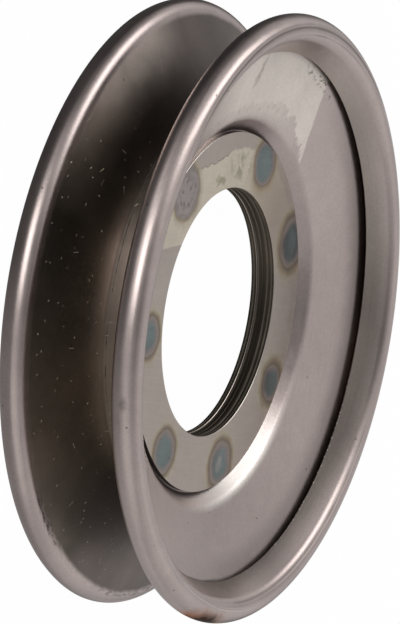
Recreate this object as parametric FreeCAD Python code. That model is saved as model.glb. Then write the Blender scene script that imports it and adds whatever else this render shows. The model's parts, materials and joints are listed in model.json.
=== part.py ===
import FreeCAD, Part
import math
import os

# Weld-on belt pulley of pressed sheet steel, in millimetres and degrees.
# It lies on its back rim. Z is the shaft's axis, and the two halves meet on the plane Z = 0.
# Two equal pressings stand back to back, and a flat ring stiffens the web of each around the bore.

# Sheet and bore
sheet = 1.4               # thickness of every piece
bore_d = 54.0             # punched hole, a slip fit on the hub that the pulley is welded to
bore_break = 0.15         # narrow chamfer on both edges of the punched hole

# Belt groove
groove_gauge_d = 83.6     # across the groove's walls, low down where its width is given
groove_gauge_w = 5.72     # between the straight walls at that diameter
groove_angle = 36.0       # between the two walls
root_depth = 2.5          # from that diameter in to where the flat webs begin to part
root_slope = 48.0         # of the groove's root, between the web and the wall
web_bend = 0.4            # inside radius from the web to the root
wall_bend = 2.4           # radius on the groove's side from the root to a wall

# Rolled rim
rim_d = 132.0
bead_d = 6.4              # outside of the rolled bead
curl_turn = 219.0         # how far the sheet turns from the wall round the bead
lip_gap = 0.08            # between the cut edge of the straight lip behind the bead and the back of the wall

# Hub rings
ring_gap = 0.1            # from a ring's rim to where the web begins to bend
ring_roll = 0.15          # rounded rim that blanking leaves on a ring's outer face

# Spot welds through the stack, seen as shallow electrode dents in both rings
weld_angles = (30.0, 72.5, 137.0, 192.5, 243.0, 291.5, 337.0)
weld_inset = 4.7          # from a ring's rim to the middle of a weld
weld_d = 7.0
weld_depth = 0.2

# Places that follow from the sizes above
bore_r = bore_d / 2
gauge_r = groove_gauge_d / 2
bead_r = bead_d / 2
wall_slope = groove_angle / 2
web_r = gauge_r - root_depth
ring_r = web_r - ring_gap
ring_top = 2 * sheet

ORIGIN = FreeCAD.Vector(0, 0, 0)
AXIS = FreeCAD.Vector(0, 0, 1)


def along(heading):
    """Unit vector in the XZ plane, with heading 0 outwards and 90 up."""
    angle = math.radians(heading)
    return FreeCAD.Vector(math.cos(angle), 0, math.sin(angle))


def bent_sheet(start, steps):
    """Face of a bent sheet's section, walked from start along one skin, at first straight outwards.

    A step is (turn, size). With no turn it is a straight run of that length. With a turn it is a bend,
    to the left where the turn is positive, and size is the radius of the walked skin.
    The other skin lies one thickness to the left all the way.
    """
    point = start
    heading = 0.0
    walked = []
    other = []
    for turn, size in steps:
        left = along(heading + 90)
        if turn == 0:
            finish = point + along(heading) * size
            walked.append(Part.LineSegment(point, finish))
            other.append(Part.LineSegment(point + left * sheet, finish + left * sheet))
        else:
            hand = math.copysign(1, turn)
            centre = point + left * (hand * size)
            normals = [along(heading + share * turn + 90) for share in (0, 0.5, 1)]
            walked.append(Part.Arc(*[centre - normal * (hand * size) for normal in normals]))
            other.append(Part.Arc(*[centre - normal * (hand * size - sheet) for normal in normals]))
            finish = centre - normals[-1] * (hand * size)
        point = finish
        heading += turn
    far_edge = Part.LineSegment(point, point + along(heading + 90) * sheet)
    near_edge = Part.LineSegment(start + along(90) * sheet, start)
    outline = walked + [far_edge] + other[::-1] + [near_edge]
    return Part.Face(Part.Wire([piece.toShape() for piece in outline]))


def turned(section):
    """Solid of revolution of a section about the shaft's axis."""
    return section.revolve(ORIGIN, AXIS, 360)


def with_broken_bore(solid):
    """The solid with both edges of its punched hole broken."""
    rims = [edge for edge in solid.Edges
            if isinstance(edge.Curve, Part.Circle) and math.isclose(edge.Curve.Radius, bore_r, abs_tol=1e-6)]
    return solid.makeChamfer(bore_break, rims)


def front_flange():
    """Pressed half: web, groove root, groove wall and rolled bead, from one sheet."""
    slope = math.radians(wall_slope)
    root = math.radians(root_slope)

    # The root's straight line meets the wall's line at a corner, which a bend as large as fits rounds off.
    web_bend_outside = web_bend + sheet
    root_r = web_r + web_bend_outside * math.sin(root)
    root_z = web_bend_outside * (1 - math.cos(root))
    wall_z = groove_gauge_w / 2 + (root_r - gauge_r) * math.tan(slope)
    to_corner = (wall_z - root_z) / (math.sin(root) - math.cos(root) * math.tan(slope))
    corner_turn = root_slope - wall_slope
    corner_reach = min(wall_bend * math.tan(math.radians(corner_turn / 2)), to_corner)
    corner_bend = corner_reach / math.tan(math.radians(corner_turn / 2))
    corner_r = root_r + to_corner * math.cos(root)
    root_run = to_corner - corner_reach

    # The wall ends where it touches the bead, whose outside reaches the rim.
    wall_end_r = rim_d / 2 - bead_r + bead_r * math.sin(slope)
    wall_run = (wall_end_r - corner_r) / math.cos(slope) - corner_reach

    # The straight lip stops with its inner corner one gap short of the wall's back.
    curl = math.radians(curl_turn)
    inner_bead_r = bead_r - sheet
    lip_run = (inner_bead_r - inner_bead_r * math.cos(curl) - lip_gap) / -math.sin(curl)

    steps = [(0, web_r - bore_r), (root_slope, web_bend_outside)]
    if root_run > 0:
        steps.append((0, root_run))
    steps += [(-corner_turn, corner_bend), (0, wall_run), (curl_turn, bead_r), (0, lip_run)]
    return with_broken_bore(turned(bent_sheet(FreeCAD.Vector(bore_r, 0, 0), steps)))


def front_hub_ring():
    """Flat blanked ring on the web, with a rolled rim and the dents of the spot welds."""
    corners = [
        FreeCAD.Vector(bore_r, 0, sheet),
        FreeCAD.Vector(ring_r, 0, sheet),
        FreeCAD.Vector(ring_r, 0, ring_top),
        FreeCAD.Vector(bore_r, 0, ring_top),
    ]
    ring = turned(Part.Face(Part.makePolygon(corners + corners[:1])))
    rim = [edge for edge in ring.Edges
           if isinstance(edge.Curve, Part.Circle)
           and math.isclose(edge.Curve.Radius, ring_r, abs_tol=1e-6)
           and math.isclose(edge.Curve.Center.z, ring_top, abs_tol=1e-6)]
    ring = with_broken_bore(ring.makeFillet(ring_roll, rim))

    # Each dent is a cap of a large ball, as wide as the weld and as deep as the electrode sank.
    ball_r = (weld_d ** 2 / 4 + weld_depth ** 2) / (2 * weld_depth)
    weld_r = ring_r - weld_inset
    for angle in weld_angles:
        turn = math.radians(angle)
        middle = FreeCAD.Vector(
            weld_r * math.cos(turn), weld_r * math.sin(turn), ring_top - weld_depth + ball_r)
        ring = ring.cut(Part.makeSphere(ball_r, middle))
    return ring


def on_the_back(shape):
    """The same piece on the other side of the plane between the halves."""
    return shape.mirror(ORIGIN, AXIS)


flange = front_flange()
hub_ring = front_hub_ring()
pieces = {
    "front_flange": flange,
    "back_flange": on_the_back(flange),
    "front_hub_ring": hub_ring,
    "back_hub_ring": on_the_back(hub_ring),
}

os.makedirs("parts", exist_ok=True)
for name, shape in pieces.items():
    shape.exportStep("parts/" + name + ".step")
    box = shape.BoundBox
    print(name, shape.ShapeType, len(shape.Solids), "valid", shape.isValid(), "volume", round(shape.Volume, 1),
          "z", round(box.ZMin, 3), round(box.ZMax, 3), "across", round(box.XLength, 3))
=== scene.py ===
import json
import math
import bpy
import numpy as np
from mathutils import Matrix, Vector


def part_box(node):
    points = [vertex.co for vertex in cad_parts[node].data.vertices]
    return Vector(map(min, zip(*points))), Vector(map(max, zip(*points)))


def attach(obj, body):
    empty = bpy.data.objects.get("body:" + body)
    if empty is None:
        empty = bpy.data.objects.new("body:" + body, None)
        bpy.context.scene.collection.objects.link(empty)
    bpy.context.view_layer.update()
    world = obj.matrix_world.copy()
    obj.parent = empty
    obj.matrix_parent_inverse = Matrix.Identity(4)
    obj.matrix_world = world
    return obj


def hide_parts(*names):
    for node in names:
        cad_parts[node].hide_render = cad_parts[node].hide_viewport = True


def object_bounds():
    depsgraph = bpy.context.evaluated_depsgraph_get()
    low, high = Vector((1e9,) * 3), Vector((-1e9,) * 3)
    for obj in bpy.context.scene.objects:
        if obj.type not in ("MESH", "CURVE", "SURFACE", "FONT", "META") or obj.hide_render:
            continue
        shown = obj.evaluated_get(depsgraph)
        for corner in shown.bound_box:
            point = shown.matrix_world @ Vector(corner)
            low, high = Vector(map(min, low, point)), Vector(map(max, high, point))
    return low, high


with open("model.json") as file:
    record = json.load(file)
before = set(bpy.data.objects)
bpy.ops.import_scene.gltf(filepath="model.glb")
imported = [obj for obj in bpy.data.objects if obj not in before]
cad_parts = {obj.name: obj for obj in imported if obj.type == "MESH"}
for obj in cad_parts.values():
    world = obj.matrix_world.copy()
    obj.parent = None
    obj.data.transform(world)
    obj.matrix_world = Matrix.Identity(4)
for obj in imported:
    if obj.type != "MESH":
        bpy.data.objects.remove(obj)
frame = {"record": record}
cad_box = [list(corner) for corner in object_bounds()]

# Camera
# A long lens far off looks across the lying pulley, 25 degrees above the floor.
# The picture is turned on its side, so the pulley seems to stand on its rim.
picture_height = 624      # in pixels, as the focal length is
focal_length = 5484.2
sight_to_axis = 1.1324    # angles in radians
picture_roll = -0.164
camera_place = Vector((-1.069144, -0.000614, 0.499530))

scene = bpy.context.scene
lens = bpy.data.cameras.new("camera")
lens.sensor_width = 36
lens.lens = focal_length * lens.sensor_width / picture_height
lens.clip_end = 100
camera = bpy.data.objects.new("camera", lens)
leaned = Matrix.Rotation(-sight_to_axis, 4, "Y")
rolled = Matrix.Rotation(-picture_roll, 4, "Z")
camera.matrix_world = Matrix.Translation(camera_place) @ leaned @ rolled
scene.collection.objects.link(camera)
scene.camera = camera
scene.view_settings.view_transform = "Standard"

# Pressed halves
# Each half is one disc of cold-rolled steel sheet, pressed to a web, the groove's root and a sloping wall.
# Its rim is rolled over into a bead, and the cut edge of the roll stops just short of the wall.
# The halves stand web to web, and spot welds through the webs and the hub rings hold them.
record = frame["record"]
bore_r = next(mount for mount in record["mounts"] if mount["name"] == "bore")["dims"]["r_mm"] / 1000
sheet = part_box("front_hub_ring")[1].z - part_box("front_hub_ring")[0].z
rim_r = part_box("front_flange")[1].y
bore_break = 0.00015
gauge_r = 0.0418
gauge_w = 0.00572
wall_slope = math.radians(18)
root_depth = 0.0025
root_slope = math.radians(48)
web_bend = 0.0004
wall_bend = 0.0024
bead_r = 0.0032
curl_turn = math.radians(219)
lip_gap = 0.00008
edge_break = 0.00012
edge_reach = 0.00006      # the most that the uneven cut edge comes forward, clear of the wall
hole_play = 0.00005       # of each sheet's hole against the others
flange_turns = 480

# Lengths of the straight runs, from the bends between them
web_r = gauge_r - root_depth
web_bend_outside = web_bend + sheet
root_r = web_r + web_bend_outside * math.sin(root_slope)
root_z = web_bend_outside * (1 - math.cos(root_slope))
wall_z = gauge_w / 2 + (root_r - gauge_r) * math.tan(wall_slope)
to_corner = (wall_z - root_z) / (math.sin(root_slope) - math.cos(root_slope) * math.tan(wall_slope))
corner_turn = root_slope - wall_slope
corner_reach = wall_bend * math.tan(corner_turn / 2)
root_run = to_corner - corner_reach
wall_end_r = rim_r - bead_r + bead_r * math.sin(wall_slope)
wall_run = (wall_end_r - root_r - to_corner * math.cos(root_slope)) / math.cos(wall_slope) - corner_reach
inner_bead_r = bead_r - sheet
lip_run = (inner_bead_r - inner_bead_r * math.cos(curl_turn) - lip_gap) / -math.sin(curl_turn)

# One step of the walk along the sheet: turn, length or radius, points on the groove's and the outer skin
sheet_walk = (
    (0, web_r - bore_r, 4, 4),
    (root_slope, web_bend_outside, 8, 6),
    (0, root_run, 2, 2),
    (-corner_turn, wall_bend, 8, 12),
    (0, wall_run, 12, 12),
    (curl_turn, bead_r, 90, 20),
    (0, lip_run, 8, 6),
)


def sheet_skin(offset, count_at):
    """Points (r, z) along one skin of the bent sheet, with headings and distances walked.

    The walk starts on the bore and heads outwards. A run's points are start + share * length * heading.
    A bend of signed radius R turns about start + R * left, and its points are centre - (R - offset) * left,
    where offset is how far this skin lies to the left of the walked one.
    """
    place = np.array([bore_r, 0.0])
    heading = 0.0
    walked = 0.0
    parts = []
    for step in sheet_walk:
        bend, size = step[:2]
        share = np.linspace(0, 1, step[count_at], endpoint=False)[:, None]
        headings = heading + share * bend
        left = np.hstack([-np.sin(headings), np.cos(headings)])
        if bend:
            signed_r = math.copysign(size, bend)
            centre = place + signed_r * left[0]
            points = centre - (signed_r - offset) * left
            heading += bend
            place = centre - signed_r * np.array([-math.sin(heading), math.cos(heading)])
            length = abs(bend) * size
        else:
            ahead = np.array([math.cos(heading), math.sin(heading)])
            points = place + share * size * ahead + offset * left
            place = place + size * ahead
            length = size
        parts.append(np.hstack([points, headings, walked + share * length]))
        walked += length
    end_left = np.array([-math.sin(heading), math.cos(heading)])
    parts.append(np.hstack([place + offset * end_left, heading, walked])[None])
    return np.vstack(parts)


def ripple(angles, orders, height, seed):
    """Sum of cosines round the axis, one for each order, with seeded phases and shares of the height."""
    rng = np.random.default_rng(seed)
    phases = rng.uniform(0, 2 * math.pi, (len(orders), 1))
    shares = rng.uniform(-1, 1, (len(orders), 1))
    waves = shares * np.cos(np.array(orders)[:, None] * angles + phases)
    return height * waves.sum(0) / math.sqrt(len(orders))


def over(degrees, *stops):
    """1 between the second and third of four angles, falling to 0 at the first and the fourth."""
    return np.interp(degrees, stops, (0, 1, 1, 0), period=360)


def closed_mesh(name, points):
    """Mesh of a grid of points that closes on itself both ways.

    Face (i, j) joins the points (i, j), (i, j + 1), (i + 1, j + 1) and (i + 1, j), counted round.
    """
    rows, turns = points.shape[:2]
    here = np.arange(rows * turns).reshape(rows, turns)
    beside = np.roll(here, -1, 1)
    faces = np.stack([here, beside, np.roll(beside, -1, 0), np.roll(here, -1, 0)], -1).reshape(-1, 4)
    mesh = bpy.data.meshes.new(name)
    mesh.vertices.add(rows * turns)
    mesh.vertices.foreach_set("co", points.ravel())
    mesh.loops.add(faces.size)
    mesh.loops.foreach_set("vertex_index", faces.ravel())
    mesh.polygons.add(len(faces))
    mesh.polygons.foreach_set("loop_start", np.arange(0, faces.size, 4))
    mesh.update(calc_edges=True)
    mesh.shade_smooth()
    mesh.set_sharp_from_angle(angle=math.radians(38))
    return mesh


def pressed_half(seed, turned):
    """Grid of points of one half, its rows' distances walked and skins, its creases' dirt and painted
    shade, and a painted crest highlight.

    The section is the groove skin outwards, the cut edge, the outer skin back and the bore's wall.
    Each point is (r cos a, r sin a, z), with r and z moved along the section's normal by marks of forming.
    A mark is a bell curve of the heading around a line that wanders with the angle, less the angle turned.
    """
    groove_skin = sheet_skin(0.0, 2)
    outer_skin = sheet_skin(sheet, 3)[::-1]
    end = groove_skin[-1]
    back = np.array([math.cos(end[2]), math.sin(end[2])])
    across_edge = np.array([-math.sin(end[2]), math.cos(end[2])])
    broken = np.hstack([end[:2] + edge_break * across_edge, end[2:]])
    groove_skin[-1, :2] -= edge_break * back
    section = np.vstack([groove_skin, broken, outer_skin])
    on_outer = np.repeat([0.0, 1.0], [len(groove_skin) + 1, len(outer_skin)])
    r, z, heading, walked = section.T
    outward = np.where(on_outer > 0, 1.0, -1.0)
    normal_r = -np.sin(heading) * outward
    normal_z = np.cos(heading) * outward
    angles = np.linspace(0, 2 * math.pi, flange_turns, endpoint=False)
    degrees = np.degrees(angles) - turned

    # Marks that the rollers leave round the bead's face, each over a part of the turn
    upper_at = np.interp(degrees, (50, 75, 90, 105, 120, 135, 150, 230),
                         (163, 167, 169, 171, 178, 186, 190, 184), period=360)
    upper_deep = np.interp(degrees, (40, 58, 75, 120, 145, 165, 225, 240),
                           (0, 0.7, 1, 1, 0.5, 0.15, 0.15, 0), period=360)
    flat_deep = over(degrees, 86, 108, 142, 158)
    short_at = np.interp(degrees, (68, 106), (187, 206), period=360)
    short_deep = over(degrees, 60, 72, 98, 108)
    lower_at = np.interp(degrees, (262, 280, 310, 330, 352), (211, 209, 206, 203, 202), period=360)
    lower_deep = np.interp(degrees, (255, 275, 330, 350, 362), (0, 1, 1, 0.5, 0), period=360)
    thin_at = np.interp(degrees, (220, 230, 239, 252, 259, 266, 273, 280),
                        (210, 204, 198, 196, 195, 189, 184, 177), period=360)
    thin_deep = over(degrees, 222, 238, 275, 284)

    # A flattened shoulder with a low ridge beside it, then the creases:
    # heading of the middle, strength round the turn, half width, depth, and dirt with painted shade, with
    # angles in degrees
    marks = (
        (126.0, flat_deep, 18.0, 0.00008, 0.0),
        (160.0, flat_deep, 12.0, -0.00007, 0.0),
        (upper_at, upper_deep, 9.0, 0.00020, 0.9),
        (upper_at, upper_deep, 4.0, 0.00007, 0.6),
        (short_at, short_deep, 3.2, 0.00008, 0.8),
        (lower_at, lower_deep, 7.0, 0.00008, 0.7),
        (thin_at, thin_deep, 3.0, 0.00010, 0.6),
    )
    on_bead = ((on_outer < 1) & (walked > walked.max() - lip_run - curl_turn * bead_r))[:, None]
    uneven = 1 + ripple(angles, range(1, 40), 0.3, seed)
    headings = np.degrees(heading)[:, None]
    crease = np.zeros((len(section), flange_turns))
    moved = np.zeros((len(section), flange_turns))
    for middle, strength, width, depth, dirt in marks:
        bell = strength * uneven * np.exp(-((headings - middle) / width) ** 2) * on_bead
        crease += dirt * bell
        moved -= depth * bell

    # A painted highlight runs as a bright crest along the near side of the thin crease
    crest_before = 4.5
    crest_width = 2.5
    crest = thin_deep * np.exp(-((headings - thin_at + crest_before) / crest_width) ** 2) * on_bead

    # The cut edge runs unevenly, because the sheet stretches as it is rolled
    share_of_lip = np.clip((walked - walked.max() + lip_run) / lip_run, 0, 1)
    long_waves = ripple(angles, range(2, 9), 0.00010, seed + 1)
    short_waves = ripple(angles, range(20, 200), 0.00003, seed + 2)
    drawn = share_of_lip[:, None] * np.minimum(long_waves + short_waves, edge_reach)
    grid_r = r[:, None] + normal_r[:, None] * moved + np.cos(heading)[:, None] * drawn
    grid_z = z[:, None] + normal_z[:, None] * moved + np.sin(heading)[:, None] * drawn

    # The punched bore has narrow broken edges, and each sheet's hole is a little off the others
    grid_r[[0, -1]] += bore_break
    bore_z = [[sheet - bore_break], [bore_break]]
    grid_r = np.vstack([grid_r, np.full((2, flange_turns), bore_r)])
    grid_z = np.vstack([grid_z, np.repeat(bore_z, flange_turns, 1)])
    grid_r[[0, -1, -2, -3]] += hole_play * (1 + np.cos(angles - seed))
    walked = np.append(walked, [0, 0])
    on_outer = np.append(on_outer, [1, 0])
    crease = np.pad(crease, ((0, 2), (0, 0)))
    crest = np.pad(crest, ((0, 2), (0, 0)))
    points = np.stack([grid_r * np.cos(angles), grid_r * np.sin(angles), grid_z], -1)
    return points, walked, on_outer, crease, crest


def add_object(name, mesh, material):
    """Object of a mesh with one material."""
    mesh.materials.append(material)
    thing = bpy.data.objects.new(name, mesh)
    scene.collection.objects.link(thing)
    return thing


def add_piece(name, mesh, material, node):
    """Object of the pulley that stands for a node of the frame, hung on the root body, with the node's part
    hidden.
    """
    piece = add_object(name, mesh, material)
    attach(piece, "root")
    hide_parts(node)


def keep_on_points(mesh, **numbers):
    """Stores a number by name for each point of a mesh, for its material to read."""
    for name, values in numbers.items():
        kept = mesh.attributes.new(name, "FLOAT", "POINT")
        kept.data.foreach_set("value", values.ravel().astype(np.float32))


class Finish:
    """Shader nodes of a material or the room. Each method adds nodes and returns what comes out of them."""

    def __init__(self, owner, shader="Principled BSDF"):
        owner.use_nodes = True
        self.tree = owner.node_tree
        self.shader = self.tree.nodes[shader]

    def add(self, kind):
        """A new node of one kind."""
        return self.tree.nodes.new(kind)

    def feed(self, value, socket):
        """Joins an output to a socket, or sets the socket's own value."""
        if isinstance(value, bpy.types.NodeSocket):
            self.tree.links.new(value, socket)
        else:
            socket.default_value = value

    def feed_all(self, node, values):
        """Feeds a node's inputs in their order, and gives its outputs."""
        for value, socket in zip(values, node.inputs):
            self.feed(value, socket)
        return node.outputs

    def number(self, operation, *values):
        """Sum, product or other operation on numbers."""
        node = self.add("ShaderNodeMath")
        node.operation = operation
        return self.feed_all(node, values)["Value"]

    def vector(self, operation, *values):
        """Operation on vectors, with its vector or its number."""
        node = self.add("ShaderNodeVectorMath")
        node.operation = operation
        gives_number = operation in ("LENGTH", "DOT_PRODUCT", "DISTANCE")
        return self.feed_all(node, values)["Value" if gives_number else "Vector"]

    def scaled(self, value, factor, base):
        """Value times factor plus base."""
        return self.number("MULTIPLY_ADD", value, factor, base)

    def step(self, value, low, high):
        """Smooth step from 0 at low to 1 at high."""
        node = self.add("ShaderNodeMapRange")
        node.interpolation_type = "SMOOTHSTEP"
        return self.feed_all(node, (value, low, high))["Result"]

    def between(self, value, low, high, soft):
        """1 where the value lies between low and high, with soft borders."""
        rise = self.step(value, low - soft, low + soft)
        return self.all_of(rise, self.step(value, high + soft, high - soft))

    def all_of(self, first, *others):
        """Product of masks."""
        for mask in others:
            first = self.number("MULTIPLY", first, mask)
        return first

    def any_of(self, first, *others):
        """Largest of masks."""
        for mask in others:
            first = self.number("MAXIMUM", first, mask)
        return first

    def blend(self, share, first, second):
        """Colour between two, by share."""
        node = self.add("ShaderNodeMix")
        node.data_type = "RGBA"
        for value, socket in zip((share, first, second), (node.inputs[0], node.inputs[6], node.inputs[7])):
            self.feed((*value, 1) if isinstance(value, tuple) else value, socket)
        return node.outputs[2]

    def coat(self, colour, paint, mask, strength=1.0):
        """Colour with a paint over it where a mask is, up to a strength."""
        return self.blend(self.all_of(mask, strength), colour, paint)

    def tone(self, colour, factor):
        """Colour made lighter or darker by a factor."""
        return self.vector("MULTIPLY", colour, factor)

    def ramp(self, value, stops):
        """Colour read from a row of places and colours."""
        node = self.add("ShaderNodeValToRGB")
        self.feed(value, node.inputs["Fac"])
        places = node.color_ramp.elements
        while len(places) < len(stops):
            places.new(1.0)
        for element, (place, colour) in zip(places, stops):
            element.position = place
            element.color = (*colour, 1)
        return node.outputs["Color"]

    def place(self):
        """The point in the piece's own frame, in metres."""
        return self.add("ShaderNodeTexCoord").outputs["Object"]

    def axes(self, where):
        """The three numbers of a place."""
        return self.feed_all(self.add("ShaderNodeSeparateXYZ"), (where,))

    def point(self, x, y, z):
        """A place from three numbers."""
        return self.feed_all(self.add("ShaderNodeCombineXYZ"), (x, y, z))["Vector"]

    def stored(self, name):
        """A number kept on the mesh's points."""
        node = self.add("ShaderNodeAttribute")
        node.attribute_name = name
        return node.outputs["Fac"]

    def noise(self, where, grain, detail):
        """Noise with grains of a size, or of three sizes for grains drawn out one way."""
        sizes = grain if isinstance(grain, tuple) else (grain, grain, grain)
        node = self.add("ShaderNodeTexNoise")
        node.inputs["Scale"].default_value = 1
        node.inputs["Detail"].default_value = detail
        self.feed(self.vector("DIVIDE", where, sizes), node.inputs["Vector"])
        return node.outputs

    def clouds(self, where, grain, low=-1.0, high=1.0, detail=3.0):
        """Noise that runs from about low to about high."""
        value = self.noise(where, grain, detail)["Fac"]
        return self.scaled(value, (high - low) * 2, low - (high - low) / 2)

    def shaken(self, where, grain, reach):
        """The place moved about by noise, up to about a reach each way, to make borders ragged."""
        away = self.vector("SUBTRACT", self.noise(where, grain, 3.0)["Color"], (0.5, 0.5, 0.5))
        return self.vector("MULTIPLY_ADD", away, (4 * reach, 4 * reach, 4 * reach), where)

    def spot(self, where, middle, sizes, soft):
        """1 in an egg-shaped spot with half sizes along the axes, fading over a share of its size."""
        away = self.vector("DIVIDE", self.vector("SUBTRACT", where, middle), sizes)
        return self.step(self.vector("LENGTH", away), 1 + soft, 1 - soft)

    def stroke(self, where, start, end, half_width, soft):
        """1 along a straight stroke between two points, fading out around half its width from the line."""
        run = Vector(end) - Vector(start)
        from_start = self.vector("SUBTRACT", where, start)
        share = self.number("DIVIDE", self.vector("DOT_PRODUCT", from_start, run), run.length_squared)
        share.node.use_clamp = True
        away = self.vector("DISTANCE", from_start, self.vector("MULTIPLY", run, share))
        return self.step(away, half_width + soft, half_width - soft)

    def flecks(self, flat, cell, half_length, half_width, share):
        """1 on small flecks lying every way, one in each of a share of the cells of a size.

        The first two numbers of the flat place run over the surface.
        """
        node = self.add("ShaderNodeTexVoronoi")
        node.voronoi_dimensions = "2D"
        node.inputs["Scale"].default_value = 1
        in_cells = self.vector("MULTIPLY", flat, (1 / cell, 1 / cell, 0))
        self.feed(in_cells, node.inputs["Vector"])
        chance = node.outputs["Color"]
        axis = self.vector("MULTIPLY", self.vector("SUBTRACT", chance, (0.5, 0.5, 0.5)), (1, 1, 0))
        axis = self.vector("NORMALIZE", axis)
        away = self.vector("SUBTRACT", in_cells, node.outputs["Position"])
        along = self.number("ABSOLUTE", self.vector("DOT_PRODUCT", away, axis))
        beside = self.vector("LENGTH", self.vector("CROSS_PRODUCT", away, axis))
        chosen = self.feed_all(self.add("ShaderNodeSeparateColor"), (chance,))["Blue"]
        return self.all_of(self.step(along, half_length / cell, half_length / cell * 0.6),
                           self.step(beside, half_width / cell, half_width / cell * 0.5),
                           self.number("LESS_THAN", chosen, share))

    def glow(self, colour):
        """A shader that shines with a colour."""
        return self.feed_all(self.add("ShaderNodeEmission"), (colour,))[0]

    def dress(self, inputs):
        """Feeds the shader's inputs by name."""
        for name, value in inputs.items():
            self.feed(value, self.shader.inputs[name])

    def relief(self, grain, lines):
        """Gives the shader the fine relief of rolled sheet, of grains and lines a few micrometres high."""
        bump = self.add("ShaderNodeBump")
        bump.inputs["Distance"].default_value = 1
        self.feed(self.scaled(grain, 0.000003, self.all_of(lines, 0.000002)), bump.inputs["Height"])
        self.dress({"Normal": bump.outputs["Normal"]})

    def show(self, shader):
        """Makes a shader the material's surface."""
        self.feed(shader, self.tree.nodes["Material Output"].inputs["Surface"])


# Places along the sheet, as distances walked from the bore
tool_line_start = 0.01640
tool_line_end = 0.01655
root_start = web_r - bore_r + root_slope * web_bend_outside
wall_start = root_start + root_run + corner_turn * wall_bend
bead_start = wall_start + wall_run
lip_start = bead_start + curl_turn * bead_r
lip_end = lip_start + lip_run

# Colours of the bare sheet, of its films and marks, and of painted light and shade
bare_steel = (0.53, 0.447, 0.425)
lip_olive = (0.290, 0.248, 0.224)
crease_brown = (0.17, 0.14, 0.127)
crest_bright = (0.86, 0.76, 0.71)
roll_black = (0.022, 0.020, 0.018)
shade_grey = (0.20, 0.17, 0.16)
crevice_black = (0.040, 0.034, 0.030)
burnish_bright = (0.80, 0.75, 0.71)
oil_browns = (
    (0.32, (0.124, 0.099, 0.090)),
    (0.41, (0.118, 0.111, 0.090)),
    (0.53, (0.118, 0.111, 0.088)),
    (0.58, (0.121, 0.106, 0.073)),
    (0.64, (0.121, 0.106, 0.074)),
    (0.69, (0.122, 0.098, 0.088)),
)
oil_thin = (0.760, 0.648, 0.580)
tool_brown = (0.07, 0.06, 0.05)
dust_tan = (0.64, 0.53, 0.38)
film_pale = (0.90, 0.82, 0.75)
fringe_grey = (0.27, 0.23, 0.21)
speck_black = (0.05, 0.042, 0.036)
streak_white = (0.86, 0.84, 0.80)
smudge_brown = (0.27, 0.21, 0.17)
nick_dark = (0.10, 0.085, 0.075)
rust_red = (0.36, 0.125, 0.040)
burnt_black = (0.028, 0.013, 0.009)
smear_dark = (0.070, 0.060, 0.052)
rubbed_grey = (0.13, 0.11, 0.10)
scratch_bright = (0.50, 0.45, 0.36)
edge_scale = (0.07, 0.056, 0.044)
burr_bright = (0.76, 0.73, 0.68)
bore_scale = (0.085, 0.072, 0.056)
bore_bright = (0.50, 0.44, 0.36)

# Bare sheet: warm grey with soft clouds, the mill's fine lines along Y and the roller's round the bead
flange_steel = bpy.data.materials.new("flange_steel")
flange = Finish(flange_steel)
where = flange.place()
walked_here = flange.stored("walked")
outer_skin = flange.stored("outer_skin")
groove_skin = flange.number("SUBTRACT", 1.0, outer_skin)
in_plan = flange.vector("MULTIPLY", where, (1, 1, 0))
round_r = 0.012
round_axis = flange.vector("MULTIPLY", flange.vector("NORMALIZE", in_plan), (round_r, round_r, 0))
round_rim = flange.vector("ADD", round_axis, flange.point(0, 0, walked_here))
x, y = flange.axes(where)[:2]
turned_round = flange.number("ARCTAN2", flange.all_of(y, -1), flange.all_of(x, -1))
flat_r = 0.052
flat = flange.point(flange.all_of(turned_round, flat_r), walked_here, 0)
on_bead = flange.all_of(groove_skin, flange.step(walked_here, bead_start, bead_start + 0.0015))
mill_lines = flange.clouds(where, (0.0004, 0.009, 0.0004))
roller_lines = flange.clouds(round_rim, (0.006, 0.006, 0.00022), detail=2)
broad_clouds = flange.clouds(where, 0.018)
small_clouds = flange.clouds(where, 0.004)
fine_grain = flange.clouds(where, 0.0006, detail=1)
lines = flange.scaled(on_bead, flange.number("SUBTRACT", roller_lines, mill_lines), mill_lines)
tone = 1.0
for pattern, share in ((lines, 0.045), (broad_clouds, 0.07), (small_clouds, 0.04), (fine_grain, 0.05)):
    tone = flange.scaled(pattern, share, tone)
colour = flange.tone(bare_steel, tone)
roughness = flange.scaled(small_clouds, 0.02, 0.31)
roughness = flange.scaled(lines, 0.02, roughness)
flange.relief(fine_grain, lines)

# The lip behind the bead grows duller and olive towards its edge, with painted light and shade round the
# turn
ragged_walk = flange.scaled(small_clouds, 0.0006, walked_here)
lip_walk = flange.number("ADD", ragged_walk, flange.stored("lip_early"))
lip_dull = flange.all_of(groove_skin, flange.step(lip_walk, lip_start - 0.0012, lip_end))
# Dirt and painted light and shade: the lip's tone is raised and lowered by angle
lip_tone = flange.all_of(tone, flange.stored("lip_clean"))
colour = flange.coat(colour, flange.tone(lip_olive, lip_tone), lip_dull)

# Dirt and painted shade in the creases, a painted crest highlight, painted shade inside the roll and on the
# wall before it
colour = flange.coat(colour, crease_brown, flange.step(flange.stored("crease"), 0.25, 1.1), 0.75)
# Painted highlight along the thin crease's crest
colour = flange.coat(colour, flange.tone(crest_bright, tone), flange.stored("crest"), 0.7)
# Painted black shade inside the roll
in_roll = flange.all_of(outer_skin, flange.step(walked_here, bead_start - 0.0005, bead_start + 0.0010))
colour = flange.coat(colour, roll_black, in_roll)
# Painted grey shade on the wall in front of the roll, over part of the turn
by_roll = flange.all_of(outer_skin, flange.stored("by_roll"),
                        flange.step(ragged_walk, wall_start + 0.0088, wall_start + 0.0135))
colour = flange.coat(colour, shade_grey, by_roll)
fine_walk = flange.scaled(small_clouds, 0.00015, walked_here)
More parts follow.
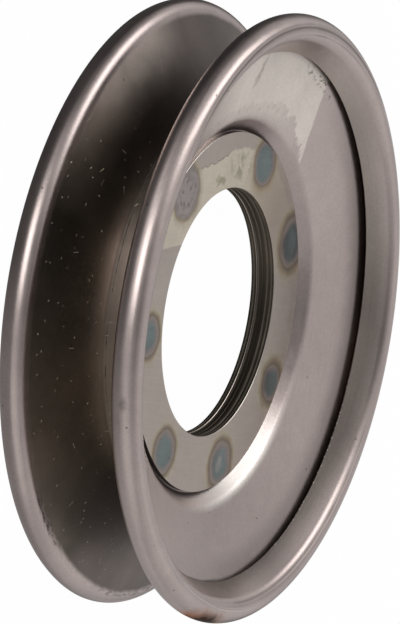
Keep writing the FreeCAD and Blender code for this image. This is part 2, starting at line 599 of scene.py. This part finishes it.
# Painted black shade along the crevice between the lip's edge and the wall, at the bottom of the turn
crevice = flange.all_of(outer_skin, flange.stored("crevice"),
                        flange.step(fine_walk, wall_start + 0.0144, wall_start + 0.0150))
colour = flange.coat(colour, crevice_black, crevice, 0.85)

# A painted highlight lies on the bend from the root to the wall on the outer side, over part of the turn
burnished = flange.all_of(outer_skin, flange.stored("burnish"),
                          flange.between(walked_here, root_start - 0.0010, wall_start, 0.0006))
colour = flange.coat(colour, flange.tone(burnish_bright, tone), burnished, 0.65)
roughness = flange.scaled(burnished, 0.05, roughness)

# The groove keeps a brownish film of drawing oil and painted shade, a dark tool line along its root, and
# pale flecks of dust
in_groove = flange.all_of(groove_skin, flange.step(walked_here, root_start - 0.0012, root_start - 0.0004),
                          flange.step(fine_walk, bead_start - 0.0001, bead_start - 0.0014))
oil_clouds = flange.clouds(where, 0.011, 0.8, 1.2, detail=4)
# The film is painted thinner and lighter where light falls into the groove, and darker where shade lies
film_thin = flange.stored("film_thin")
share_of_turn = flange.scaled(turned_round, 0.5 / math.pi, 0.5)
oil = flange.blend(film_thin, flange.ramp(share_of_turn, oil_browns), oil_thin)
colour = flange.coat(colour, flange.tone(oil, oil_clouds), in_groove)
roughness = flange.scaled(in_groove, flange.scaled(film_thin, 0.05, 0.06), roughness)
tool_walk = flange.scaled(broad_clouds, 0.0001, walked_here)
tool_line = flange.all_of(groove_skin, flange.between(tool_walk, tool_line_start, tool_line_end, 0.00008),
                          flange.step(flange.clouds(where, 0.0035, low=0), 0.35, 0.8))
colour = flange.coat(colour, tool_brown, tool_line)
grains = flange.flecks(flat, cell=0.0024, half_length=0.00030, half_width=0.00016, share=0.22)
fibres = flange.flecks(flat, cell=0.0050, half_length=0.00090, half_width=0.00011, share=0.12)
dust = flange.all_of(in_groove, flange.stored("dusty"), flange.any_of(grains, fibres),
                     flange.clouds(where, 0.003, low=0.1, detail=2))
colour = flange.coat(colour, dust_tan, dust)

# A patch of dried film on the front wall, with one straight taped edge and a ragged one
over_front = flange.stored("front_wall")
film_side = flange.scaled(small_clouds, 0.00012, flange.stored("film_side"))
drips = flange.clouds(round_rim, (0.0002, 0.0002, 0.004), detail=2)
film_low = flange.scaled(small_clouds, 0.0012, flange.stored("film_low"))
film_low = flange.scaled(drips, 0.0010, film_low)
patch = flange.all_of(over_front, flange.step(film_side, -0.0002, 0.0003), flange.stored("film_fade"))
thick = flange.all_of(patch, flange.step(film_low, -0.0004, 0.0006))
haze = flange.all_of(patch, flange.stored("film_hazy"), 0.75,
                     flange.step(flange.stored("film_low"), -0.0055, -0.0010))
film = flange.any_of(thick, haze)
colour = flange.coat(colour, flange.tone(film_pale, tone), film, 0.85)
roughness = flange.scaled(film, 0.2, roughness)
fringe = flange.all_of(patch, flange.between(film_low, -0.0009, 0.0001, 0.0003),
                       flange.step(drips, 0.25, 0.75))
colour = flange.coat(colour, fringe_grey, fringe, 0.35)
specks = flange.all_of(over_front, flange.stored("film_specks"),
                       flange.step(flange.clouds(where, 0.0011, detail=2), 0.15, 0.5))
colour = flange.coat(colour, speck_black, specks)
# Painted highlight: a white streak along the lower end of the film's straight edge
streak = flange.stroke(where, (0.0222, 0.0394, 0.0086), (0.0250, 0.0339, 0.0076),
                       half_width=0.0003, soft=0.0003)
colour = flange.coat(colour, streak_white, flange.all_of(over_front, streak))
smudge = flange.spot(flange.shaken(where, 0.0016, 0.0008), middle=(-0.0100, 0.0519, 0.0078),
                     sizes=(0.0007, 0.0030, 0.006), soft=0.8)
colour = flange.coat(colour, smudge_brown, smudge, 0.5)

# Marks of handling and storage, and darker patches along the back bead's foot
nicks = flange.flecks(flat, cell=0.0085, half_length=0.00030, half_width=0.00022, share=0.16)
colour = flange.coat(colour, nick_dark, nicks, 0.65)
rust_place = flange.shaken(where, 0.0022, 0.0007)
rust = flange.spot(rust_place, middle=(-0.0110, -0.0660, 0.0130), sizes=(0.0105, 0.0030, 0.0060), soft=0.55)
colour = flange.coat(colour, rust_red, rust, 0.9)
burnt = flange.spot(rust_place, middle=(-0.0076, -0.0662, 0.0130), sizes=(0.0062, 0.0027, 0.0060), soft=0.4)
colour = flange.coat(colour, burnt_black, burnt, 0.95)
# Darker in ragged patches along the start of the back bead, at the bottom
scuffs = flange.step(flange.clouds(flat, (0.0016, 0.0006, 1)), -0.25, 0.35)
colour = flange.coat(colour, smear_dark, flange.all_of(flange.stored("smear"), scuffs))
rubbed = flange.spot(flange.shaken(where, 0.0010, 0.0003), middle=(-0.0622, -0.0218, 0.0137),
                     sizes=(0.0012, 0.0014, 0.0006), soft=0.9)
colour = flange.coat(colour, rubbed_grey, rubbed, 0.5)
scratch = flange.stroke(where, (-0.0276, 0.0566, -0.0097), (-0.0264, 0.0480, -0.0071),
                        half_width=0.00008, soft=0.00010)
colour = flange.coat(colour, scratch_bright, scratch)


def punched_bore(finish, colour, where, wall, scale, low, high):
    """Colour with dark scale over the bore's wall, lighter towards +Y, and a bright ridge round it.

    The ridge is where the shearing ended and the sheet broke, between two shares of the thickness.
    """
    y, z = finish.axes(where)[1:]
    lighter = finish.scaled(finish.step(y, 0.0, 0.020), 1.8, scale)
    colour = finish.coat(colour, finish.tone(bore_scale, lighter), wall)
    height = finish.number("FRACT", finish.number("DIVIDE", finish.number("ABSOLUTE", z), sheet))
    patches = finish.clouds(where, 0.010, low=0.2, detail=2)
    ridge = finish.all_of(wall, finish.between(height, low, high, 0.12), patches)
    return finish.coat(colour, bore_bright, ridge)


# The punched bore and the cut edge are dark with scale, and a painted glint lies on the cut edge's burr in
# places
cut_edge = flange.step(walked_here, lip_end - 0.00004, lip_end - 0.00001)
colour = flange.coat(colour, edge_scale, cut_edge)
burr = flange.all_of(groove_skin, flange.step(walked_here, lip_end - 0.00035, lip_end - 0.00015),
                     flange.step(fine_grain, 0.2, 0.6), flange.stored("burr"))
colour = flange.coat(colour, burr_bright, burr, 0.5)
bore_wall = flange.step(flange.vector("LENGTH", in_plan), bore_r + 0.00035, bore_r + 0.00015)
colour = punched_bore(flange, colour, where, bore_wall, oil_clouds, 0.66, 0.86)
roughness = flange.scaled(flange.any_of(rust, bore_wall), 0.2, roughness)
dull = flange.any_of(rust, dust, flange.all_of(film, 0.6))
flange.dress({
    "Base Color": colour,
    "Roughness": roughness,
    "Metallic": flange.number("SUBTRACT", 1.0, dull),
    "Specular IOR Level": flange.scaled(rust, -0.45, 0.5),
})


def keep_wear_places(mesh, points, walked):
    """Stores how thin and lit the groove's film is painted, and how strong the other marks and painted
    light and shade are.

    The film's thinness is read round the turn at the root, low on the wall and near the bead, and between
    these it follows the distance walked. The other marks follow the angle alone.
    """
    angle = np.degrees(np.arctan2(points[..., 1], points[..., 0])) % 360
    at_root = np.interp(angle, (118, 135, 150, 165, 180, 205, 225, 245),
                        (0.12, 0.3, 0.48, 0.8, 0.62, 0.5, 0.32, 0.12))
    low_down = np.interp(angle, (90, 120, 150, 180, 205, 225, 250), (0.04, 0.12, 0.14, 0.15, 0.34, 0.34, 0))
    near_bead = np.interp(angle, (75, 106, 118, 134, 150, 166, 198, 225, 242, 270),
                          (0.1, 0.05, 0.6, 1, 0.5, 0.06, 0.32, 0.42, 0.02, 0.09))
    from_root = np.interp(walked, (wall_start - 0.001, wall_start + 0.004), (1, 0))[:, None]
    to_bead = np.interp(walked, (wall_start + 0.007, wall_start + 0.017), (0, 1))[:, None]
    keep_on_points(
        mesh,
        film_thin=low_down + from_root * (at_root - low_down) + to_bead * (near_bead - low_down),
        dusty=np.interp(angle, (118, 150, 238, 262), (0.1, 1, 1, 0.2)),
        burnish=over(angle, 258, 282, 318, 335),
        by_roll=np.interp(angle, (0, 15, 30, 45, 70, 260, 285, 300, 330),
                          (0.52, 0.60, 0.50, 0.38, 0, 0, 0.3, 0.33, 0.48), period=360),
        crevice=over(angle, 215, 235, 272, 285),
        lip_early=np.interp(angle, (0, 15, 40, 270, 290, 312, 335),
                            (0.0030, 0.0015, 0, 0, -0.0010, -0.0008, 0.0016), period=360),
        lip_clean=np.interp(angle, (0, 15, 30, 68, 84, 97, 110, 250, 270, 290, 340),
                            (0.95, 1.1, 1.2, 1.7, 2.3, 1.7, 1.4, 0.9, 0.7, 0.78, 0.75), period=360),
        burr=over(angle, 296, 306, 342, 352),
    )


def keep_film_places(mesh, points, on_outer):
    """Stores on the front half how far each point is inside the film's straight edge and its ragged one.

    The straight edge is a line in plan, and the distance is the dot product with the line's normal.
    The ragged edge is a radius that changes with the angle, and the distance is the point's radius less it.
    """
    x, y = points[..., 0], points[..., 1]
    angle = np.degrees(np.arctan2(y, x))
    r = np.hypot(x, y)
    edge_from = np.array([0.0217, 0.0533])
    edge_to = np.array([0.0250, 0.0339])
    run = (edge_to - edge_from) / np.linalg.norm(edge_to - edge_from)
    low_r = np.interp(angle, (50, 66, 79, 100, 115), (0.0415, 0.0453, 0.0466, 0.0452, 0.0445))
    near_lip = np.interp(r, (0.0558, 0.0565, 0.0574, 0.0577), (0, 1, 1, 0))
    keep_on_points(
        mesh,
        film_side=(x - edge_from[0]) * run[1] - (y - edge_from[1]) * run[0],
        film_low=r - low_r,
        film_fade=over(angle, 40, 48, 104, 136),
        film_hazy=np.interp(angle, (62, 80), (0, 1)),
        film_specks=near_lip * over(angle, 61, 65, 76, 82),
        front_wall=on_outer[:, None] * np.interp(r, (0.0418, 0.0422, 0.0570, 0.0575), (0, 1, 1, 0)),
    )


def keep_smear_places(mesh, points, walked, on_outer):
    """Stores on the back half how much darker the start of its bead is made, at the bottom of the turn."""
    angle = np.degrees(np.arctan2(points[..., 1], points[..., 0])) % 360
    thick = np.interp(angle, (221, 226, 236, 241, 258, 264, 286, 298),
                      (0, 0.75, 0.75, 0.1, 0.1, 0.55, 0.55, 0))
    along = np.interp(walked - bead_start, (-0.0011, -0.0005, 0.0002, 0.0007), (0, 1, 1, 0))
    keep_on_points(mesh, smear=(along * (1 - on_outer))[:, None] * thick)


for side, seed, turned in (("front", 3, 0), ("back", 11, 140)):
    points, walked, on_outer, crease, crest = pressed_half(seed, turned)
    if side == "back":
        points = points[::-1] * (1, 1, -1)
        walked, on_outer, crease, crest = walked[::-1], on_outer[::-1], crease[::-1], crest[::-1]
    mesh = closed_mesh(side + "_half", points)
    keep_on_points(mesh, walked=np.repeat(walked, flange_turns),
                   outer_skin=np.repeat(on_outer, flange_turns), crease=crease, crest=crest)
    keep_wear_places(mesh, points, walked)
    if side == "front":
        keep_film_places(mesh, points, on_outer)
    else:
        keep_smear_places(mesh, points, walked, on_outer)
    add_piece(side + "_half", mesh, flange_steel, side + "_flange")

# Hub rings
# A flat washer blanked from the same sheet stiffens the web round the bore, one on each side.
# Seven spot welds go through both rings and both webs, and their electrodes leave shallow dents.
ring_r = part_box("front_hub_ring")[1].x
ring_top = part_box("front_hub_ring")[1].z
ring_roll = 0.00015
ring_turns = 600
weld_angles = np.radians((30.0, 72.5, 137.0, 192.5, 243.0, 291.5, 337.0))
weld_inset = 0.0047
weld_d = 0.0070
weld_depth = 0.00020


def hub_ring():
    """Grid of points of a ring's closed section carried round the axis.

    The section runs from the broken bore edge along the top, over the rolled rim and back underneath.
    A dent at a weld lowers the top by depth - (ball radius - sqrt(ball radius squared - distance squared)).
    """
    bottom = ring_top - sheet
    broken_r = bore_r + bore_break
    roll = np.linspace(0, math.pi / 2, 7)[1:]
    top_r = np.linspace(broken_r, ring_r - ring_roll, 44)
    top = np.stack([top_r, np.full_like(top_r, ring_top)], 1)
    rim_middle = np.array([ring_r - ring_roll, ring_top - ring_roll])
    rim = rim_middle + ring_roll * np.stack([np.sin(roll), np.cos(roll)], 1)
    under = [[ring_r, bottom], [(ring_r + bore_r) / 2, bottom], [broken_r, bottom]]
    bore = [[bore_r, bottom + bore_break], [bore_r, ring_top - bore_break]]
    section = np.vstack([top, rim, under, bore])[::-1]
    angles = np.linspace(0, 2 * math.pi, ring_turns, endpoint=False)
    x = section[:, :1] * np.cos(angles)
    y = section[:, :1] * np.sin(angles)
    z = np.repeat(section[:, 1:], ring_turns, 1)
    ball_r = (weld_d ** 2 / 4 + weld_depth ** 2) / (2 * weld_depth)
    weld_x = (ring_r - weld_inset) * np.cos(weld_angles)
    weld_y = (ring_r - weld_inset) * np.sin(weld_angles)
    away = np.hypot(x[..., None] - weld_x, y[..., None] - weld_y).min(-1)
    dent = np.clip(weld_depth - ball_r + np.sqrt(np.clip(ball_r ** 2 - away ** 2, 0, None)), 0, None)
    z = z - np.where(z > ring_top - ring_roll / 2, dent, 0)
    return np.stack([x, y, z], -1)


# Middle of each weld's heat tint in plan, and reach of its blue core, purple ring and brown halo, in mm
heat_tints = np.array((
    (31.3, 17.8, 3.9, 5.8, 8.0),
    (10.8, 33.4, 4.2, 5.0, 6.4),
    (-25.9, 23.8, 2.4, 5.6, 6.8),
    (-32.2, -7.3, 3.0, 4.6, 5.8),
    (-16.0, -31.3, 3.5, 5.0, 6.2),
    (13.0, -32.3, 3.75, 5.4, 6.7),
    (32.6, -13.4, 3.1, 4.4, 6.4),
)) / 1000
dark_welds = (0, 6)
mauve_weld = 2
pale_weld = 5
halo_fade = 0.004


def heat_places(points):
    """Heat of the nearest weld at each point, and which weld that is.

    Heat runs from 0 at a tint's middle through 1, 2 and 3 where its core, ring and halo end, to 5 far away.
    """
    x, y = points[..., 0], points[..., 1]
    heats = []
    for middle_x, middle_y, core, ring, halo in heat_tints:
        away = np.hypot(x - middle_x, y - middle_y)
        heats.append(np.interp(away, (0, core, ring, halo, halo + halo_fade), (0, 1, 2, 3, 5)))
    heats = np.stack(heats)
    return heats.min(0), heats.argmin(0)


# Colours of the bare ring, of its film and welds, and of the rim's painted shade and highlight
bare_ring = (0.50, 0.432, 0.390)
film_cream = (0.70, 0.635, 0.51)
tide_dark = (0.17, 0.15, 0.12)
blotch_olive = (0.31, 0.29, 0.195)
weld_tints = (
    (0.00, (0.195, 0.238, 0.242)),
    (0.16, (0.185, 0.222, 0.222)),
    (0.24, (0.27, 0.230, 0.222)),
    (0.33, (0.32, 0.262, 0.228)),
    (0.40, (0.21, 0.165, 0.130)),
    (0.50, (0.35, 0.280, 0.195)),
    (0.62, (0.50, 0.435, 0.335)),
)
pale_grey = (0.44, 0.40, 0.375)
scorch_brown = (0.40, 0.31, 0.225)
mauve_grey = (0.36, 0.315, 0.300)
wave_dark = (0.14, 0.115, 0.10)
pit_dark = (0.12, 0.112, 0.11)
core_dark = (0.085, 0.092, 0.088)
edge_bright = (0.70, 0.67, 0.62)
rim_black = (0.035, 0.03, 0.026)
rim_bright = (0.85, 0.82, 0.78)

# Bare ring: yellower than the halves, with faint clouds and mill lines
hub_steel = bpy.data.materials.new("hub_steel")
hub = Finish(hub_steel)
where = hub.place()
broad_clouds = hub.clouds(where, 0.012)
small_clouds = hub.clouds(where, 0.003)
fine_grain = hub.clouds(where, 0.0006, detail=1)
mill_lines = hub.clouds(where, (0.008, 0.0005, 0.0005))
tone = 1.0
for pattern, share in ((broad_clouds, 0.05), (small_clouds, 0.03), (mill_lines, 0.04), (fine_grain, 0.03)):
    tone = hub.scaled(pattern, share, tone)
colour = hub.tone(bare_ring, tone)
roughness = hub.scaled(small_clouds, 0.03, 0.33)
hub.relief(fine_grain, mill_lines)

# Dried film on the upper left of the front ring, cream inside a ragged tide line and grey outside it
over_front = hub.stored("front_film")
film_in = hub.scaled(small_clouds, 0.0007, hub.stored("film_in"))
cream = hub.all_of(over_front, hub.step(film_in, -0.0003, 0.0003),
                   hub.step(hub.stored("film_edge"), -0.0001, 0.0002))
colour = hub.coat(colour, hub.tone(film_cream, tone), cream, 0.75)
tide = hub.all_of(over_front, hub.stored("film_tide"), hub.between(film_in, -0.0001, 0.0001, 0.00014))
colour = hub.coat(colour, tide_dark, tide, 0.75)
blotch_place = hub.shaken(where, 0.0016, 0.0010)
blotch = hub.any_of(
    hub.spot(blotch_place, middle=(-0.0010, 0.0316, 0.0028), sizes=(0.0050, 0.0030, 0.004), soft=0.6),
    hub.spot(blotch_place, middle=(-0.0098, 0.0275, 0.0028), sizes=(0.0026, 0.0011, 0.004), soft=0.6),
)
blotch = hub.all_of(over_front, blotch, hub.step(small_clouds, -0.2, 0.35))
colour = hub.coat(colour, blotch_olive, blotch, 0.75)

# Heat tint round each weld: straw, brown, purple and a blue-green core
heat = hub.scaled(broad_clouds, 0.22, hub.stored("weld_heat"))
heat = hub.scaled(small_clouds, 0.14, heat)
tint = hub.ramp(hub.number("DIVIDE", heat, 5.0), weld_tints)
colour = hub.coat(colour, hub.tone(tint, tone), hub.step(heat, 4.0, 2.6))
colour = hub.coat(colour, pale_grey, hub.all_of(hub.stored("pale_weld"), hub.step(heat, 0.75, 0.25)), 0.8)

# Two welds lie so near the bore that the metal between them and its edge has gone brown
scorch = hub.spot(hub.shaken(where, 0.004, 0.0008), middle=(0.0150, 0.0245, 0.0028),
                  sizes=(0.0100, 0.0095, 0.0030), soft=0.6)
colour = hub.coat(colour, scorch_brown, hub.all_of(hub.step(heat, 1.9, 2.6), scorch), 0.5)

# The weld at the upper left kept no blue: grey and mauve with dark pits and a wavy ring
on_mauve = hub.stored("mauve_weld")
colour = hub.coat(colour, hub.tone(mauve_grey, tone), hub.all_of(on_mauve, hub.step(heat, 2.5, 1.9)))
wavy_heat = hub.scaled(hub.clouds(where, 0.0018), 0.22, heat)
waves = hub.any_of(hub.between(wavy_heat, 1.30, 1.42, 0.10), hub.between(wavy_heat, 1.85, 2.05, 0.12))
wavy = hub.all_of(on_mauve, hub.clouds(where, 0.003, 0.2, 1.2, detail=2), waves)
colour = hub.coat(colour, wave_dark, wavy, 0.5)
small_pits = hub.flecks(where, cell=0.0019, half_length=0.0003, half_width=0.0002, share=0.20)
large_pits = hub.flecks(where, cell=0.0021, half_length=0.0006, half_width=0.0004, share=0.6)
pits = hub.any_of(hub.all_of(hub.step(heat, 1.6, 1.2), small_pits),
                  hub.all_of(on_mauve, hub.step(heat, 1.7, 1.4), large_pits))
colour = hub.coat(colour, pit_dark, pits, 0.65)
colour = hub.coat(colour, core_dark, hub.all_of(hub.stored("dark_weld"), hub.step(heat, 1.5, 0.6)), 0.6)

# The punched bore is dark with scale, its edge is worn bright, and the rim has painted black shade and a
# painted highlight
off_axis = hub.vector("LENGTH", hub.vector("MULTIPLY", where, (1, 1, 0)))
bore_wall = hub.step(off_axis, bore_r + 0.00006, bore_r + 0.00003)
scale = hub.clouds(where, 0.003, 0.6, 1.4)
colour = punched_bore(hub, colour, where, bore_wall, scale, 0.40, 0.62)
outer_face = hub.step(hub.number("ABSOLUTE", hub.axes(where)["Z"]), ring_top - 0.0004, ring_top - 0.0002)
edge_worn = hub.all_of(hub.between(off_axis, bore_r + 0.00006, bore_r + 0.00013, 0.00003), outer_face,
                       hub.clouds(where, 0.006, low=0, detail=2))
colour = hub.coat(colour, edge_bright, edge_worn, 0.7)
# Painted black shade round the rim, and a painted highlight on its upper left
rim = hub.blend(hub.stored("rim_clean"), rim_black, rim_bright)
colour = hub.coat(colour, rim, hub.step(off_axis, ring_r - 0.00012, ring_r - 0.00004))
roughness = hub.scaled(cream, 0.14, roughness)
roughness = hub.scaled(bore_wall, 0.2, roughness)
hub.dress({"Base Color": colour, "Roughness": roughness, "Metallic": hub.scaled(cream, -0.5, 1.0)})


def keep_ring_film(mesh, points):
    """Stores on the front ring where the film lies, from a tide line whose radius changes with the angle.

    The slanted edge is a line in plan, and the distance from it is the dot product with the line's normal.
    """
    x, y = points[..., 0], points[..., 1]
    angle = np.degrees(np.arctan2(y, x))
    tide_r = np.interp(angle, (70, 84, 100, 107.5, 118, 126, 140, 160),
                       (0.037, 0.036, 0.0353, 0.034, 0.0344, 0.0361, 0.0395, 0.042))
    edge_x, edge_y = -0.0312, 0.0113
    normal_x, normal_y = -0.199, 0.980
    on_top = points[..., 2] > ring_top - 0.0003
    keep_on_points(
        mesh,
        film_in=tide_r - np.hypot(x, y),
        film_edge=normal_x * (x - edge_x) + normal_y * (y - edge_y),
        film_tide=over(angle, 98, 104, 128, 134),
        rim_clean=over(angle, 104, 112, 140, 150),
        front_film=np.interp(angle, (50, 84, 165, 168), (0.15, 1, 1, 0)) * on_top,
    )


for side in ("front", "back"):
    points = hub_ring()
    if side == "back":
        points = points[::-1] * (1, 1, -1)
    mesh = closed_mesh(side + "_ring", points)
    heat, weld = heat_places(points)
    keep_on_points(mesh, weld_heat=heat, pale_weld=weld == pale_weld, mauve_weld=weld == mauve_weld,
                   dark_weld=np.isin(weld, dark_welds))
    if side == "front":
        keep_ring_film(mesh, points)
    add_piece(side + "_ring", mesh, hub_steel, side + "_hub_ring")

# Floor, lamps and room
# The pulley lies on a plain white floor in a grey room. A broad soft lamp stands above its far side, and
# another stands beside the camera. Glowing cards round the pulley show only in its reflections.
floor_z = cad_box[0][2]
floor_half = 4.0
floor_white = (0.92, 0.92, 0.92, 1)
floor_glow = 0.985

# The floor glows a little for the eye, so that it is white and still keeps the pulley's shadow
floor_mesh = bpy.data.meshes.new("floor")
corners = [(x * floor_half, y * floor_half, floor_z) for x, y in ((-1, -1), (1, -1), (1, 1), (-1, 1))]
floor_mesh.from_pydata(corners, [], [(0, 1, 2, 3)])
floor_paint = bpy.data.materials.new("floor_paint")
paint = Finish(floor_paint)
paint.dress({"Base Color": floor_white, "Roughness": 0.9, "Specular IOR Level": 0.1})
path = paint.add("ShaderNodeLightPath").outputs
seen = paint.any_of(path["Is Camera Ray"], path["Is Glossy Ray"], path["Is Transmission Ray"])
mixed = (paint.all_of(seen, floor_glow), paint.shader.outputs[0], paint.glow((1, 1, 1, 1)))
paint.show(paint.feed_all(paint.add("ShaderNodeMixShader"), mixed)[0])
add_object("floor", floor_mesh, floor_paint)

# The cards lie flat on the floor and glow, grey before the camera and nearly black far left and under the
# pulley
card_turns = 120
card_lift = 0.0002
card_r = np.array([[0.0005], [rim_r + 0.002], [rim_r + 0.012], [rim_r + 0.030], [rim_r + 0.150], [2.0]])
angles = np.linspace(0, 2 * math.pi, card_turns, endpoint=False)
degrees = np.degrees(angles)
under_greys = np.interp(degrees, (150, 175, 195, 220, 280, 310),
                        (0.06, 0.10, 0.25, 0.30, 0.30, 0.06), period=360)
near_greys = np.interp(degrees, (0, 30, 65, 90, 105, 120, 138, 158, 180, 195, 235, 300, 320, 338),
                       (0.45, 0.18, 0.06, 0.03, 0.03, 0.04, 0.06, 0.11, 0.12, 0.20, 0.48, 0.46, 0.13, 0.13),
                       period=360)
far_greys = np.interp(degrees, (0, 15, 40, 60, 90, 110, 124, 142, 158, 168, 184, 205, 232, 300, 322, 334),
                      (0.70, 0.52, 0.17, 0.09, 0.06, 0.10, 0.22, 0.85, 1.4, 1.3, 0.65, 0.40, 0.66, 0.58,
                       0.15, 0.20), period=360)
card_z = np.full((len(card_r), card_turns), floor_z + card_lift)
card_points = np.stack([card_r * np.cos(angles), card_r * np.sin(angles), card_z], -1)
here = np.arange((len(card_r) - 1) * card_turns).reshape(-1, card_turns)
beside = np.roll(here, -1, 1)
card_mesh = bpy.data.meshes.new("cards")
card_faces = np.stack([here, here + card_turns, beside + card_turns, beside], -1)
card_mesh.from_pydata(card_points.reshape(-1, 3), [], card_faces.reshape(-1, 4))
keep_on_points(card_mesh, shade=np.repeat([under_greys, near_greys, far_greys], 2, 0))
card_paint = bpy.data.materials.new("card_paint")
paint = Finish(card_paint)
paint.show(paint.glow(paint.stored("shade")))
cards = add_object("cards", card_mesh, card_paint)
cards.visible_camera = False
cards.visible_diffuse = False
cards.visible_shadow = False

# The room is grey, with lighter and darker sides:
# azimuth, elevation, brightness added, and the angles from there at which it begins to fade and ends
room_grey = 0.47
room_sides = (
    (-40, 38, 0.16, 15, 45),
    (-10, 45, 0.12, 12, 36),
    (8, 3, 0.12, 6, 22),
    (22, 42, -0.11, 8, 27),
    (72, 50, 0.50, 8, 40),
    (44, 15, 0.15, 5, 24),
    (237, 12, 0.28, 8, 38),
    (182, 59, -0.22, 6, 34),
    (0, 90, -0.10, 8, 32),
    (86, 0, -0.35, 15, 46),
)


def direction(azimuth, elevation):
    """Unit vector towards an azimuth and an elevation in degrees."""
    around = math.radians(azimuth)
    rise = math.radians(elevation)
    return Vector((math.cos(rise) * math.cos(around), math.cos(rise) * math.sin(around), math.sin(rise)))


room = bpy.data.worlds.new("room")
scene.world = room
walls = Finish(room, "Background")
sight = walls.add("ShaderNodeTexCoord").outputs["Generated"]
level = room_grey
for azimuth, elevation, added, inside, outside in room_sides:
    facing = walls.vector("DOT_PRODUCT", sight, direction(azimuth, elevation))
    fade = walls.step(facing, math.cos(math.radians(outside)), math.cos(math.radians(inside)))
    level = walls.scaled(fade, added, level)
walls.dress({"Color": level, "Strength": 1})


def soft_lamp(name, azimuth, elevation, tilt, distance, width, height, brightness):
    """Rectangular lamp that faces the pulley from a direction, tilted in its own plane."""
    watts_per_area = 4
    light = bpy.data.lights.new(name, "AREA")
    light.shape = "RECTANGLE"
    light.size = width
    light.size_y = height
    light.energy = brightness * width * height * watts_per_area
    out = direction(azimuth, elevation)
    facing = out.to_track_quat("Z", "Y").to_matrix() @ Matrix.Rotation(math.radians(tilt), 3, "Z")
    lamp = bpy.data.objects.new(name, light)
    lamp.location = out * distance
    lamp.rotation_euler = facing.to_euler()
    scene.collection.objects.link(lamp)


soft_lamp("far_lamp", 72, 43, tilt=35, distance=1.2, width=1.02, height=0.42, brightness=1.4)
soft_lamp("camera_lamp", 167, 15.5, tilt=0, distance=1.6, width=0.82, height=0.86, brightness=2.1)
